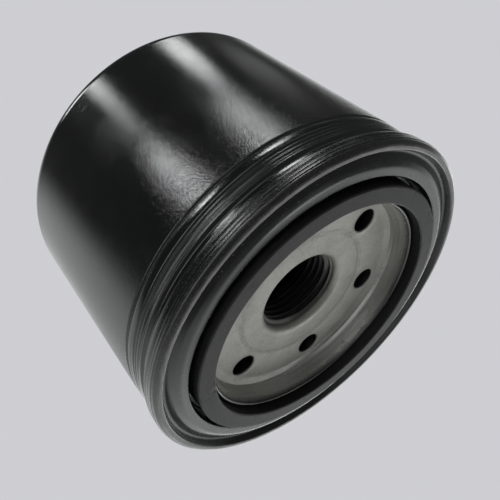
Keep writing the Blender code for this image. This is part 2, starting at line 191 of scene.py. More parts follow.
def cut(thing, cutter):
    """Subtract a cutter from a piece, and weld away the slivers that the cut leaves."""
    modifier = thing.modifiers.new("cut", "BOOLEAN")
    modifier.operation = "DIFFERENCE"
    modifier.solver = "EXACT"
    modifier.object = cutter
    bpy.context.view_layer.update()
    graph = bpy.context.evaluated_depsgraph_get()
    mesh = bpy.data.meshes.new_from_object(thing.evaluated_get(graph))
    thing.modifiers.remove(modifier)
    thing.data = mesh
    bpy.data.objects.remove(cutter, do_unlink=True)
    shape = bmesh.new()
    shape.from_mesh(mesh)
    bmesh.ops.remove_doubles(shape, verts=shape.verts, dist=CUT_WELD * MM)
    bmesh.ops.triangulate(shape, faces=[face for face in shape.faces if len(face.verts) > 4])
    bmesh.ops.dissolve_degenerate(shape, edges=shape.edges, dist=CUT_WELD * MM)
    shape.to_mesh(mesh)
    shape.free()
    mesh.shade_smooth()
    mesh.set_sharp_from_angle(angle=math.radians(32))
    return thing


def waved(amount, size):
    """Vertex mover that adds soft unevenness of an amount and a size, both in millimetres."""

    def move(point):
        return point + noise.noise_vector(point / (size * MM)) * amount * MM

    return move


def install(thing, material, slot, body, *nodes):
    """Give a piece its finish, the body it rides on and the CAD nodes that it stands for."""
    thing.data.materials.clear()
    thing.data.materials.append(material)
    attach(thing, body)
    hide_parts(*nodes)
    return thing


def install_spring(thing, material, node):
    """Give a spring its finish and hide its CAD node; it is fixed in the row frame, on no body."""
    thing.data.materials.clear()
    thing.data.materials.append(material)
    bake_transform(thing)
    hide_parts(node)
    return thing


# ---------------------------------------------------------------- outside pieces


def canister_mesh():
    """Drawn can: recessed end panel, round corner, tapering side, band and ridges, neck and flange."""
    radius, low, high = turned_box("canister")
    sheet = 0.5
    outside = [
        (0.0, 1.0, 0.0),
        (8.0, 1.0, 0.0),
        (17.0, 1.0, 1.4),
        (18.9, low, 1.2),
        (radius - 0.6, low, 4.0),
        (radius, 47.45, 0.35),
        (radius - 0.42, 47.8, 0.16),
        (radius - 0.06, 48.35, 0.7),
        (radius - 0.02, 49.2, 0.0),
        (radius - 0.08, 49.95, 0.45),
        (radius - 0.5, 50.22, 0.14),
        (radius - 0.02, 50.66, 0.2),
        (radius - 0.34, 51.04, 0.1),
        (radius, 51.55, 0.3),
        (radius - 0.3, 51.98, 0.08),
        (radius - 0.04, 52.28, 0.14),
        (radius - 0.16, 52.5, 0.06),
        (radius - 0.02, 52.85, 0.35),
        (radius - 0.66, 53.35, 0.4),
        (radius - 0.66, 54.6, 0.4),
        (radius - 0.15, 55.5, 0.3),
        (radius - 0.15, high, 0.1),
    ]
    inside = [
        (radius - 0.58, high, 0.1),
        (radius - 0.58, 55.3, 0.3),
        (radius - 1.1, 54.6, 0.3),
        (radius - 1.1, 53.1, 0.3),
        (radius - 1.1, 52.0, 0.3),
        (radius - 1.1, 46.0, 0.3),
        (radius - 0.6 - sheet, sheet, 3.5),
        (19.1, sheet, 1.0),
        (17.2, 1.0 + sheet, 1.0),
        (0.0, 1.0 + sheet, 0.0),
    ]
    return turned("filter_canister", outside + inside)


def lid_mesh():
    """Pressed lid: rolled seam, channel, round bead, gasket groove, lip and dished wall."""
    radius, low, high = turned_box("gasket_retainer")
    outside = [
        (radius - 0.62, 54.92, 0.2),
        (radius - 0.12, 55.02, 0.35),
        (radius, 55.75, 0.5),
        (radius, 56.4, 0.0),
        (radius - 0.04, 56.52, 0.05),
        (radius, 56.64, 0.0),
        (radius, 57.08, 0.0),
        (radius - 0.04, 57.2, 0.05),
        (radius, 57.32, 0.0),
        (radius, 57.66, 0.08),
        (radius - 0.13, 57.78, 0.04),
        (radius - 0.1, 57.98, 0.1),
        (radius - 0.25, 58.25, 0.3),
        (37.6, high, 0.25),
        (36.85, high, 0.35),
        (36.2, 57.3, 0.5),
        (35.7, 57.2, 0.5),
        (34.5, 58.25, 1.4),
        (33.4, 58.82, 1.5),
        (31.55, 58.7, 0.4),
        (31.12, 57.6, 0.3),
        (31.12, 54.7, 0.2),
        (26.28, 54.7, 0.2),
        (26.26, 57.5, 0.3),
        (25.95, 57.82, 0.25),
        (25.6, 57.55, 0.3),
        (25.2, 55.4, 1.5),
        (24.85, 53.9, 1.2),
        (24.45, low + 0.02, 0.1),
        (24.4, low, 0.0),
    ]
    inside = [
        (24.95, low, 0.05),
        (25.6, 54.3, 0.5),
        (25.8, 54.1, 0.1),
        (31.72, 54.1, 0.2),
        (31.75, 57.9, 0.3),
        (33.2, 58.2, 0.9),
        (34.2, 57.5, 0.9),
        (35.2, 55.7, 0.4),
        (36.3, 55.6, 0.3),
        (36.95, 56.2, 0.3),
        (37.15, 56.8, 0.2),
        (37.15, high - 0.6, 0.1),
        (radius - 0.5, high - 0.85, 0.2),
        (radius - 0.5, 55.9, 0.1),
    ]
    return turned("filter_lid", outside + inside)


def gasket_mesh():
    """Square-cut rubber ring, a little uneven, with a mould line and small nicks on its edges."""
    radius, low, high = turned_box("sealing_gasket")
    inner = radius - 3.8

    def nicked(point):
        """Nicks and flash along the two edges of the sealing face."""
        if point.z < (high - 0.6) * MM:
            return point
        drop = noise.noise(point / (1.3 * MM)) - 0.42
        point.z -= max(drop, 0.0) * 0.35 * MM
        wide = noise.noise(Vector((point.x, point.y, 0.0)) / (5.0 * MM))
        point.xy *= 1.0 + wide * 0.0011
        return point

    outline = [
        (inner, low, 0.2),
        (radius, low, 0.2),
        (radius, high - 1.6, 0.0),
        (radius - 0.02, high - 0.25, 0.08),
        (radius - 0.28, high - 0.02, 0.12),
        (radius - 1.2, high - 0.01, 0.0),
        (radius - 1.9, high - 0.03, 0.0),
        (inner + 1.2, high - 0.01, 0.0),
        (inner + 0.28, high - 0.02, 0.12),
        (inner, high - 0.25, 0.08),
        (inner, high - 1.6, 0.0),
    ]
    return turned("filter_gasket", outline, 384, nicked)


def compound_mesh():
    """Bead of sealing compound in the fold of the seam."""
    radius, low, high = turned_box("seam_compound")
    outline = [
        (radius - 0.42, low + 0.04, 0.1),
        (radius, low + 0.04, 0.1),
        (radius - 0.02, high - 0.04, 0.15),
        (radius - 0.4, high - 0.04, 0.15),
    ]
    return turned("seam_compound_bead", outline, SMALL_STEPS, waved(0.03, 1.5))


def thread_radius(share):
    """Radius of a 60 degree thread at a share of its pitch, with a flat crest and a rounded root."""
    across = abs(2.0 * share - 1.0)
    depth = min(max((across - 0.16) / 0.7, 0.0), 1.0)
    return THREAD_MINOR + (THREAD_MAJOR - THREAD_MINOR) * depth


def add_thread(shape, low, high, mouth, steps, rows_a_turn=10):
    """Helical rows of points, each turn joined to the next. The thread fades out at its two ends."""
    row_count = rows_a_turn * (math.ceil((high - low) / THREAD_PITCH) + 2)
    rows = []
    for row in range(row_count):
        ring = []
        for step in range(steps):
            turn = row / rows_a_turn + step / steps
            height = low - THREAD_PITCH + THREAD_PITCH * turn
            height = min(max(height, low), high)
            fade = min(1.0, (height - low) / 0.5, (high - height) / 0.9)
            radius = mouth + (thread_radius(row / rows_a_turn % 1.0) - mouth) * fade
            angle = math.tau * step / steps
            place = Vector((radius * math.cos(angle), radius * math.sin(angle), height))
            ring.append(shape.verts.new(place * MM))
        rows.append(ring)
    last = steps - 1
    for row in range(row_count - 1):
        for step in range(last):
            here, above = rows[row], rows[row + 1]
            shape.faces.new((here[step], here[step + 1], above[step + 1], above[step]))
        if row + 1 + rows_a_turn < row_count:
            after, above_after = rows[row + rows_a_turn], rows[row + rows_a_turn + 1]
            shape.faces.new((rows[row][last], after[0], above_after[0], rows[row + 1][last]))


def plate_mesh():
    """Tapped plate with its collar, thread, rounded mouth and six punched inlet holes."""
    radius, low, high = turned_box("base_plate")
    hub_end = low + 0.3
    mouth_rounding = 1.7
    thread_top = PLATE_TOP - mouth_rounding
    under = PLATE_TOP - PLATE_SHEET
    profile = [
        (THREAD_MAJOR, hub_end, 0.0),
        (THREAD_MAJOR + 0.55, low, 0.3),
        (11.6, low, 0.4),
        (11.6, under - 1.2, 1.0),
        (12.8, under, 0.8),
        (25.2, under, 0.6),
        (27.0, high - PLATE_SHEET, 0.8),
        (radius, high - PLATE_SHEET, 0.3),
        (radius, high, 0.3),
        (26.1, high, 0.5),
        (24.7, PLATE_TOP + 0.64, 0.6),
        (23.2, PLATE_TOP, 2.0),
        (16.2, PLATE_TOP, 0.0),
        (15.95, PLATE_TOP - 0.035, 0.0),
        (15.55, PLATE_TOP - 0.035, 0.0),
        (15.3, PLATE_TOP, 0.0),
        (THREAD_MAJOR, PLATE_TOP, mouth_rounding),
        (THREAD_MAJOR, thread_top, 0.0),
    ]
    shape = bmesh.new()
    spin_outline(shape, rounded(profile), SMALL_STEPS, closed=False)
    add_thread(shape, hub_end, thread_top, THREAD_MAJOR, SMALL_STEPS)
    plate = finish_mesh("filter_base_plate", shape)
    return cut(plate, inlet_cutter(under))


def inlet_cutter(under):
    """Six plugs with a flared top, which leave a rounded edge on the holes in the plate."""
    edge = [
        (0.0, -1.2),
        (INLET_RADIUS, -1.2),
        (INLET_RADIUS, PLATE_SHEET - 0.28),
        (INLET_RADIUS + 0.06, PLATE_SHEET - 0.12),
        (INLET_RADIUS + 0.18, PLATE_SHEET - 0.02),
        (INLET_RADIUS + 0.33, PLATE_SHEET + 0.06),
        (0.0, PLATE_SHEET + 0.06),
    ]
    outline = [(reach * MM, (under + rise) * MM) for reach, rise in edge]
    holes = bmesh.new()
    for index in range(INLET_COUNT):
        before = set(holes.verts)
        spin_outline(holes, outline, 48, closed=False)
        added = [vertex for vertex in holes.verts if vertex not in before]
        angle = math.tau * index / INLET_COUNT
        shift = Vector((math.cos(angle), math.sin(angle), 0.0)) * INLET_CIRCLE * MM
        bmesh.ops.translate(holes, verts=added, vec=shift)
    return finish_mesh("inlet_cutter", holes)


# ---------------------------------------------------------------- inside pieces


def valve_collar_mesh():
    """Flat inner part of the anti-drain-back rubber, with two moulded sealing ribs on each face."""
    radius, low, high = turned_box("check_valve_collar")
    outline = [(9.9, low + 0.1, 0.1)]
    for rib in (11.0, 14.2):
        outline += [(rib - 0.35, low + 0.1, 0.08), (rib, low, 0.1), (rib + 0.35, low + 0.1, 0.08)]
    outline += [(radius - 0.3, low + 0.1, 0.2), (radius, low + 0.5, 0.3), (radius, high - 0.1, 0.2)]
    for rib in (14.2, 11.0):
        outline += [(rib + 0.35, high - 0.1, 0.08), (rib, high, 0.1), (rib - 0.35, high - 0.1, 0.08)]
    outline += [(9.9, high - 0.1, 0.1)]
    return turned("valve_rubber_collar", outline, SMALL_STEPS)


def valve_flap_mesh():
    """Soft conical lip of the same rubber, stepped and thinner towards its sealing edge."""
    radius, low, high = turned_box("check_valve_flap")
    outline = [
        (16.4, low, 0.1),
        (17.2, low + 0.1, 0.3),
        (20.6, low + 1.76, 0.3),
        (21.0, low + 1.98, 0.2),
        (24.55, low + 3.72, 0.3),
        (radius, high - 0.15, 0.15),
        (radius - 0.15, high, 0.1),
        (radius - 1.3, high, 0.1),
        (radius - 1.6, 48.0, 0.4),
        (16.4, low + 1.0, 0.1),
    ]
    return turned("valve_rubber_flap", outline, SMALL_STEPS)


def end_cap_mesh(node, name, inner, flipped):
    """Pressed cap of the element, with a stiffening ring and a rim turned over the paper."""
    radius, low, high = turned_box(node)
    face, rim = (low, high) if flipped else (high, low)
    inward = 1.0 if flipped else -1.0
    sheet = 0.6 * inward
    corners = [
        (inner, face, 0.08),
        (21.0, face, 0.2),
        (21.4, face + 0.12 * inward, 0.2),
        (24.2, face + 0.12 * inward, 0.2),
        (24.6, face, 0.2),
        (radius, face, 0.9),
        (radius, rim, 0.15),
        (radius - 0.6, rim, 0.15),
        (radius - 0.6, face + sheet, 0.4),
        (inner, face + sheet, 0.08),
    ]
    return turned(name, corners, SMALL_STEPS)


def adhesive_mesh(node, name):
    """Set adhesive with a slightly wavy skin."""
    radius, low, high = turned_box(node)
    outline = [
        (13.3, low + 0.05, 0.1),
        (radius - 0.05, low + 0.05, 0.2),
        (radius - 0.05, high - 0.05, 0.2),
        (26.0, high - 0.05, 0.0),
        (20.0, high - 0.05, 0.0),
        (13.3, high - 0.05, 0.1),
    ]
    return turned(name, outline, SMALL_STEPS, waved(0.04, 2.2))


def paper_plan(side):
    """One face of the folded sheet in plan, with rounded folds."""
    radius = turned_box("lower_adhesive")[0]
    thickness = 0.46
    fold_out = radius - thickness / 2 - 0.95
    fold_in = TUBE_OUTER + 0.3 + thickness / 2 + 0.45
    half_out = 0.62
    half_in = 0.38
    points = []
    for pleat in range(PLEATS):
        middle = math.tau * pleat / PLEATS
        for angle, reach, half, out in (
            (middle, fold_out, half_out + side * thickness / 2, 1.0),
            (middle + math.pi / PLEATS, fold_in, half_in - side * thickness / 2, -1.0),
        ):
            along = Vector((math.cos(angle), math.sin(angle)))
            sideways = Vector((-math.sin(angle), math.cos(angle)))
            for step in range(7):
                turn = math.pi * (step / 6 - 0.5)
                across = half * math.sin(turn)
                ahead = out * half * math.cos(turn)
                points.append(along * (reach + ahead) + sideways * across)
    return points


def paper_mesh():
    """Filter paper folded into a star, a little uneven from fold to fold."""
    low, high = turned_box("pleated_paper")[1:]
    levels = 14
    shape = bmesh.new()
    loops = []
    heights = [low + (high - low) * level / levels for level in range(levels + 1)]
    for side, order in ((1, heights), (-1, heights[::-1])):
        for height in order:
            ring = []
            for point in paper_plan(side):
                place = Vector((point.x, point.y, height))
                lean = noise.noise(Vector((point.x / 6, point.y / 6, height / 22))) * 0.012
                spun = Matrix.Rotation(lean, 3, "Z") @ place
                ring.append(shape.verts.new(spun * MM))
            loops.append(ring)
    for loop, following in zip(loops, loops[1:] + loops[:1]):
        for index, corner in enumerate(loop):
            after = (index + 1) % len(loop)
            shape.faces.new((corner, loop[after], following[after], following[index]))
    return finish_mesh("filter_paper_pleats", shape, 60.0)


def clip_mesh():
    """Crimped strip over the joined fold of the paper, with pinched teeth along both legs."""
    low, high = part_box("pleat_clip")
    half = high.y / MM
    back = high.x / MM
    front = low.x / MM
    levels = 60
    shape = bmesh.new()
    loops = []
    for level in range(levels + 1):
        height = low.z / MM + (high.z - low.z) / MM * level / levels
        pinch = 0.09 * (0.5 - 0.5 * math.cos(math.tau * level / 6))
        ring = []
        for x, y in (
            (front, half - pinch),
            (back - 0.35, half - 0.02),
            (back, half - 0.35),
            (back, -half + 0.35),
            (back - 0.35, -half + 0.02),
            (front, -half + pinch),
            (front, -half + 0.2 + pinch),
            (back - 0.3, -half + 0.25),
            (back - 0.3, half - 0.25),
            (front, half - 0.2 - pinch),
        ):
            ring.append(shape.verts.new(Vector((x, y, height)) * MM))
        loops.append(ring)
    for loop, following in zip(loops, loops[1:]):
        for index, corner in enumerate(loop):
            after = (index + 1) % len(loop)
            shape.faces.new((corner, loop[after], following[after], following[index]))
    shape.faces.new(loops[0])
    shape.faces.new(loops[-1])
    return finish_mesh("paper_joint_clip", shape, 30.0)


def add_rods(shape, rods, radius, sides=20):
    """Straight rods, given by their two ends, in a bmesh."""
    for start, end in rods:
        run = end - start
        turn = Vector((0.0, 0.0, 1.0)).rotation_difference(run)
        place = Matrix.Translation((start + run / 2) * MM) @ turn.to_matrix().to_4x4()
        bmesh.ops.create_cone(
            shape,
            cap_ends=True,
            segments=sides,
            radius1=radius * MM,
            radius2=radius * MM,
            depth=run.length * MM,
            matrix=place,
        )


def tube_mesh():
    """Perforated centre tube with rolled edges."""
    radius, low, high = turned_box("centre_tube")
    inner = radius - 0.6
    outline = [(inner, low, 0.2), (radius, low, 0.2), (radius, high, 0.2), (inner, high, 0.2)]
    tube = turned("centre_tube_perforated", outline, SMALL_STEPS)
    rods = []
    for row in range(4):
        height = low + (high - low) * (row + 1.2) / 5.4
        for index in range(8):
            angle = math.pi * (index + 0.5 * (row % 2)) / 4
            out = Vector((math.cos(angle), math.sin(angle), 0.0))
            middle = Vector((0.0, 0.0, height))
            rods.append((middle + out * (inner - 1.0), middle + out * (radius + 1.0)))
    shape = bmesh.new()
    add_rods(shape, rods, 1.7)
    return cut(tube, finish_mesh("tube_cutter", shape))


def relief_cage_mesh():
    """Cage of the relief valve: flanged foot, four windows and a roof with a guide hole."""
    low, high = turned_box("relief_valve_body")[1:]
    foot, wall, sheet = 11.8, 8.8, 0.7
    outline = [
        (wall - sheet, low, 0.15),
        (foot, low, 0.15),
        (foot, low + sheet, 0.15),
        (wall, low + sheet, 0.5),
        (wall, high, 1.0),
        (3.5, high, 0.15),
        (3.5, high - sheet, 0.15),
        (wall - sheet, high - sheet, 0.5),
    ]
    cage = turned("relief_valve_cage", outline, SMALL_STEPS)
    shape = bmesh.new()
    for index in range(4):
        turn = Matrix.Rotation(math.radians(45 + 90 * index), 4, "Z")
        place = turn @ Matrix.Translation(Vector((wall, 0.0, 17.0)) * MM)
        size = Matrix.Diagonal((4.0 * MM, 5.0 * MM, 7.0 * MM, 1.0))
        bmesh.ops.create_cube(shape, size=1.0, matrix=place @ size)
    bmesh.ops.bevel(shape, geom=shape.edges, offset=0.5 * MM, segments=3, affect="EDGES")
    return cut(cage, finish_mesh("window_cutter", shape))


def relief_seal_mesh():
    """Rubber face of the relief valve, with a raised sealing ring."""
    radius, low, high = turned_box("relief_valve_seal")
    outline = [
        (0.0, low + 0.1, 0.0),
        (6.2, low + 0.1, 0.1),
        (6.5, low, 0.1),
        (7.0, low, 0.1),
        (radius, low + 0.25, 0.2),
        (radius, high, 0.1),
        (0.0, high, 0.0),
    ]
    return turned("relief_valve_rubber", outline, SMALL_STEPS)


def relief_disc_mesh():
    """Steel disc behind the seal, with the stem that guides the spring."""
    radius, low, high = turned_box("relief_valve_disc")
    outline = [
        (0.0, low, 0.0),
        (radius, low, 0.15),
        (radius, low + 0.8, 0.2),
        (3.6, low + 0.8, 0.3),
        (3.0, high, 0.4),
        (0.0, high, 0.0),
    ]
    return turned("relief_valve_plunger", outline, SMALL_STEPS)


def seat_mesh():
    """Pressed ring between the element spring and the lower cap."""
    radius, low, high = turned_box("spring_seat")
    outline = [
        (13.0, high - 0.6, 0.1),
        (radius - 0.6, high - 0.6, 0.4),
        (radius - 0.6, low, 0.1),
        (radius, low, 0.15),
        (radius, high, 0.6),
        (13.0, high, 0.1),
    ]
    return turned("element_spring_seat", outline, SMALL_STEPS)


def coil_mesh(name, node, radius, wire, turns, sides=12, steps_a_turn=48):
    """Round-wire compression spring. Its first and last half turns lie flat, as closed ends do."""
    low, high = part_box(node)
    low, high = low.z / MM + wire, high.z / MM - wire
    count = round(turns * steps_a_turn)
    flat = 0.5 / turns
    shape = bmesh.new()
    rings = []
    for step in range(count + 1):
        share = step / count
        climb = min(max((share - 0.3 * flat) / (1.0 - 0.6 * flat), 0.0), 1.0)
        angle = math.tau * turns * share
        height = low + (high - low) * climb
        ring = []
        for side in range(sides):
            around = math.tau * side / sides
            reach = radius + wire * math.cos(around)
            place = Vector((reach * math.cos(angle), reach * math.sin(angle), 0.0))
            place.z = height + wire * math.sin(around)
            ring.append(shape.verts.new(place * MM))
        rings.append(ring)
    for ring, following in zip(rings, rings[1:]):
        for side in range(sides):
            after = (side + 1) % sides
            shape.faces.new((ring[side], ring[after], following[after], following[side]))
    shape.faces.new(rings[0])
    shape.faces.new(rings[-1])
    return finish_mesh(name, shape, 50.0)


# ---------------------------------------------------------------- materials


class Finish:
    """A Principled material with one short call for each kind of node used here."""

    def __init__(self, name, **constants):
        self.material = bpy.data.materials.new(name)
        self.material.use_nodes = True
        self.tree = self.material.node_tree
        self.shader = self.tree.nodes["Principled BSDF"]
        for socket, value in constants.items():
            self.shader.inputs[socket.replace("_", " ")].default_value = value
        self.place = self.tree.nodes.new("ShaderNodeTexCoord").outputs["Object"]
        parts = self.add("ShaderNodeSeparateXYZ", self.place)
        self.height = parts.outputs["Z"]
        flat = self.add("ShaderNodeCombineXYZ", parts.outputs["X"], parts.outputs["Y"], 0.0)
        self.radius = self.add("ShaderNodeVectorMath", flat.outputs[0], operation="LENGTH").outputs["Value"]
        self.spoke = self.add("ShaderNodeVectorMath", flat.outputs[0], operation="NORMALIZE").outputs[0]

    def add(self, kind, *inputs, **settings):
        """New node with its settings and its first inputs, which are sockets or plain values."""
        node = self.tree.nodes.new(kind)
        for name, value in settings.items():
            setattr(node, name, value)
        for socket, value in zip(node.inputs, inputs):
            self.feed(socket, value)
        return node

    def feed(self, socket, value):
        """Link an output to a socket, or set the socket to a value."""
        if isinstance(value, bpy.types.NodeSocket):
            self.tree.links.new(value, socket)
        elif value is not None:
            socket.default_value = value

    def math(self, operation, *values):
        return self.add("ShaderNodeMath", *values, operation=operation).outputs[0]

    def noise(self, scale, detail=3.0, roughness=0.55, vector=None, distortion=0.0):
        """Noise with features of about 1/scale metres."""
        node = self.add("ShaderNodeTexNoise")
        self.feed(node.inputs["Vector"], vector or self.place)
        node.inputs["Scale"].default_value = scale
        node.inputs["Detail"].default_value = detail
        node.inputs["Roughness"].default_value = roughness
        node.inputs["Distortion"].default_value = distortion
        return node.outputs["Fac"]

    def around(self, along, across):
        """Coordinates drawn out round the axis: along counts once round, across is per metre."""
        run = self.math("ADD", self.radius, self.height)
        line = self.math("MULTIPLY", run, across)
        wide = self.add("ShaderNodeVectorMath", self.spoke, operation="SCALE")
        wide.inputs["Scale"].default_value = along
        lift = self.add("ShaderNodeCombineXYZ", 0.0, 0.0, line).outputs[0]
        return self.add("ShaderNodeVectorMath", wide.outputs[0], lift, operation="ADD").outputs[0]

    def stretch(self, value, low, high, start=0.0, end=1.0):
        """Map a value's low-high range smoothly to start-end."""
        node = self.add("ShaderNodeMapRange", value, low, high, start, end)
        node.interpolation_type = "SMOOTHSTEP"
        return node.outputs[0]

    def band(self, value, low, high, soft):
        """1 where the value lies between low and high, with soft edges; all in metres."""
        rise = self.stretch(value, low - soft, low + soft)
        fall = self.stretch(value, high - soft, high + soft, 1.0, 0.0)
        return self.math("MULTIPLY", rise, fall)

    def mix(self, share, first, second):
        """Blend two colours, given as sockets or RGB triples."""
        node = self.add("ShaderNodeMix", data_type="RGBA")
        self.feed(node.inputs[0], share)
        for socket, value in ((node.inputs[6], first), (node.inputs[7], second)):
            self.feed(socket, value if isinstance(value, bpy.types.NodeSocket) else (*value, 1.0))
        return node.outputs[2]

    def bump(self, height, distance, strength=1.0, normal=None):
        """Bump from a height of 0 to 1 that stands for a distance in millimetres."""
        node = self.add("ShaderNodeBump")
        node.inputs["Strength"].default_value = strength
        node.inputs["Distance"].default_value = distance * MM
        self.feed(node.inputs["Height"], height)
        self.feed(node.inputs["Normal"], normal)
        return node.outputs[0]

    def wear(self, colour, roughness, normal):
        """Connect the finished colour, roughness and normal."""
        self.feed(self.shader.inputs["Base Color"], colour)
        self.feed(self.shader.inputs["Roughness"], roughness)
        self.feed(self.shader.inputs["Normal"], normal)
        return self.material


def can_paint():
    """Gloss black enamel: orange peel, smudges, fine scratches and dust."""
    look = Finish("can_paint", IOR=1.5)
    peel = look.noise(4000.0, 1.0)
    swell = look.noise(330.0, 2.0)
    near_seam = look.stretch(look.height, 22.0 * MM, 47.0 * MM)
    smudge = look.stretch(look.noise(75.0, 5.0, 0.62, distortion=0.8), 0.45, 0.66)
    lines = look.noise(1.0, 2.0, vector=look.around(11.0, 2600.0))
    scratch = look.stretch(lines, 0.70, 0.75)
    dust = look.stretch(look.noise(3300.0, 1.0), 0.76, 0.80)
    base = look.mix(smudge, (0.0062, 0.0066, 0.0066), (0.0098, 0.0102, 0.0100))
    marks = look.math("MAXIMUM", look.math("MULTIPLY", scratch, 0.25), look.math("MULTIPLY", dust, 0.6))
    colour = look.mix(marks, base, (0.05, 0.05, 0.048))
    rough = look.math("ADD", look.math("MULTIPLY", smudge, 0.05), 0.13)
    rough = look.math("ADD", rough, look.math("MULTIPLY", marks, 0.2))
    normal = look.bump(swell, 0.010)
    below_band = look.stretch(look.height, 48.0 * MM, 49.5 * MM, 1.0, 0.1)
    depth = look.math("ADD", look.math("MULTIPLY", near_seam, 0.9), 0.35)
    fine = look.math("MULTIPLY", peel, look.math("MULTIPLY", depth, below_band))
    normal = look.bump(fine, 0.038, normal=normal)
    normal = look.bump(scratch, 0.004, normal=normal)
    return look.wear(colour, rough, normal)


def lid_paint():
    """Satin black coating: speckle, scuffs on the seam's front face, a bare inner wall, and painted shade
    in the gasket groove.
    """
    look = Finish("lid_paint", IOR=1.5)
    grain = look.noise(2300.0, 3.0)
    speckle = look.stretch(look.noise(3000.0, 3.0, 0.7), 0.52, 0.70)
    cloud = look.stretch(look.noise(160.0, 5.0, 0.6), 0.35, 0.7)
    streaks = look.stretch(look.noise(1.0, 4.0, 0.65, vector=look.around(10.0, 1500.0)), 0.40, 0.66)
    seam = look.stretch(look.radius, 36.6 * MM, 37.0 * MM)
    rim = look.math("MULTIPLY", seam, look.stretch(look.height, 57.6 * MM, 58.0 * MM))
    front = look.math("MULTIPLY", seam, look.stretch(look.height, 58.6 * MM, 58.8 * MM))
    wall = look.stretch(look.radius, 25.3 * MM, 25.62 * MM, 1.0, 0.0)
    groove = look.band(look.radius, 26.05 * MM, 31.5 * MM, 0.12 * MM)
    scuff = look.math("MULTIPLY", speckle, look.math("ADD", look.math("MULTIPLY", rim, 0.24), 0.04))
    rubbed = look.math("MULTIPLY", front, look.math("ADD", look.math("MULTIPLY", streaks, 0.5), 0.25))
    colour = look.mix(cloud, (0.0034, 0.0036, 0.0035), (0.0064, 0.0066, 0.0063))
    colour = look.mix(scuff, colour, (0.15, 0.148, 0.14))
    colour = look.mix(rubbed, colour, (0.12, 0.119, 0.112))
    dust = look.stretch(look.noise(3300.0, 1.0), 0.765, 0.80)
    colour = look.mix(dust, colour, (0.35, 0.34, 0.32))
    # Painted shade: the gasket groove between the lip and the bead is painted near black.
    colour = look.mix(groove, colour, (0.004, 0.004, 0.004))
    bands = look.stretch(look.noise(1.0, 2.0, vector=look.around(1.5, 900.0)), 0.35, 0.65)
    steel = look.mix(bands, (0.27, 0.268, 0.250), (0.38, 0.377, 0.352))
    colour = look.mix(wall, colour, steel)
    look.feed(look.shader.inputs["Metallic"], look.math("MULTIPLY", wall, 0.55))
    rough = look.math("ADD", look.math("MULTIPLY", cloud, 0.08), 0.22)
    rough = look.math("ADD", rough, look.math("MULTIPLY", rim, 0.08))
    rough = look.math("ADD", rough, look.math("MULTIPLY", wall, 0.04))
    fine_lines = look.noise(1.0, 3.0, 0.6, vector=look.around(16.0, 5200.0))
    normal = look.bump(fine_lines, 0.010)
    normal = look.bump(grain, 0.008, normal=normal)
    return look.wear(colour, rough, normal)


# The side of the bore that is painted darkest, as painted shade
BORE_SHADE_WAY = (0.12, -0.99, 0.0)


def plate_steel():
    """Oiled grey steel: fine grain, faint turning lines, stains, a rubbed ring round the mouth; painted
    shade in the bore, holes and underside.
    """
    look = Finish("plate_steel", Metallic=0.35, IOR=1.5)
    grain = look.noise(2200.0, 4.0, 0.65)
    cloud = look.stretch(look.noise(110.0, 5.0, 0.6, distortion=0.8), 0.3, 0.72)
    stain = look.stretch(look.noise(240.0, 5.0, 0.7), 0.56, 0.74)
    lines = look.noise(1.0, 3.0, vector=look.around(5.0, 1500.0))
    ring = look.band(look.radius, 15.1 * MM, 16.4 * MM, 0.25 * MM)
    worn = look.math("MULTIPLY", ring, look.stretch(lines, 0.35, 0.6, 0.25, 0.9))
    base = look.mix(cloud, (0.20, 0.20, 0.178), (0.275, 0.273, 0.245))
    base = look.mix(look.math("MULTIPLY", stain, 0.35), base, (0.13, 0.128, 0.11))
    colour = look.mix(worn, base, (0.15, 0.15, 0.132))
    speck = look.stretch(grain, 0.40, 0.62)
    colour = look.mix(look.math("MULTIPLY", speck, 0.3), colour, (0.36, 0.35, 0.32))
    inside_hub = look.stretch(look.radius, 11.7 * MM, 12.2 * MM, 1.0, 0.0)
    # Painted shade: the bore is painted darker with depth, black from 48.8 mm down.
    bore_depth_shade = look.math("MULTIPLY", inside_hub, look.stretch(look.height, 48.8 * MM, 51.3 * MM, 1.0, 0.0))
    # Painted shade: below the top face and outside the hub (hole walls, underside) the steel is painted
    # near black.
    below_face = look.stretch(look.height, 52.0 * MM, 52.4 * MM, 1.0, 0.0)
    under_face_shade = look.math("MULTIPLY", below_face, look.math("SUBTRACT", 1.0, inside_hub))
    toward = look.add("ShaderNodeVectorMath", look.spoke, BORE_SHADE_WAY, operation="DOT_PRODUCT").outputs["Value"]
    # Painted shade: the upper bore is painted dark on one side too.
    bore_side_shade = look.math("MULTIPLY", inside_hub, look.stretch(look.height, 50.0 * MM, 51.8 * MM, 1.0, 0.0))
    bore_side_shade = look.math("MULTIPLY", bore_side_shade, look.stretch(toward, 0.25, 0.85))
    # All the painted shade of the plate, mixed in as near black.
    plate_painted_shade = look.math("MAXIMUM", look.math("MAXIMUM", bore_depth_shade, bore_side_shade), under_face_shade)
    colour = look.mix(plate_painted_shade, colour, (0.004, 0.004, 0.004))
    rough = look.stretch(lines, 0.3, 0.7, 0.40, 0.52)
    normal = look.bump(grain, 0.010)
    normal = look.bump(lines, 0.004, 0.6, normal)
    return look.wear(colour, rough, normal)


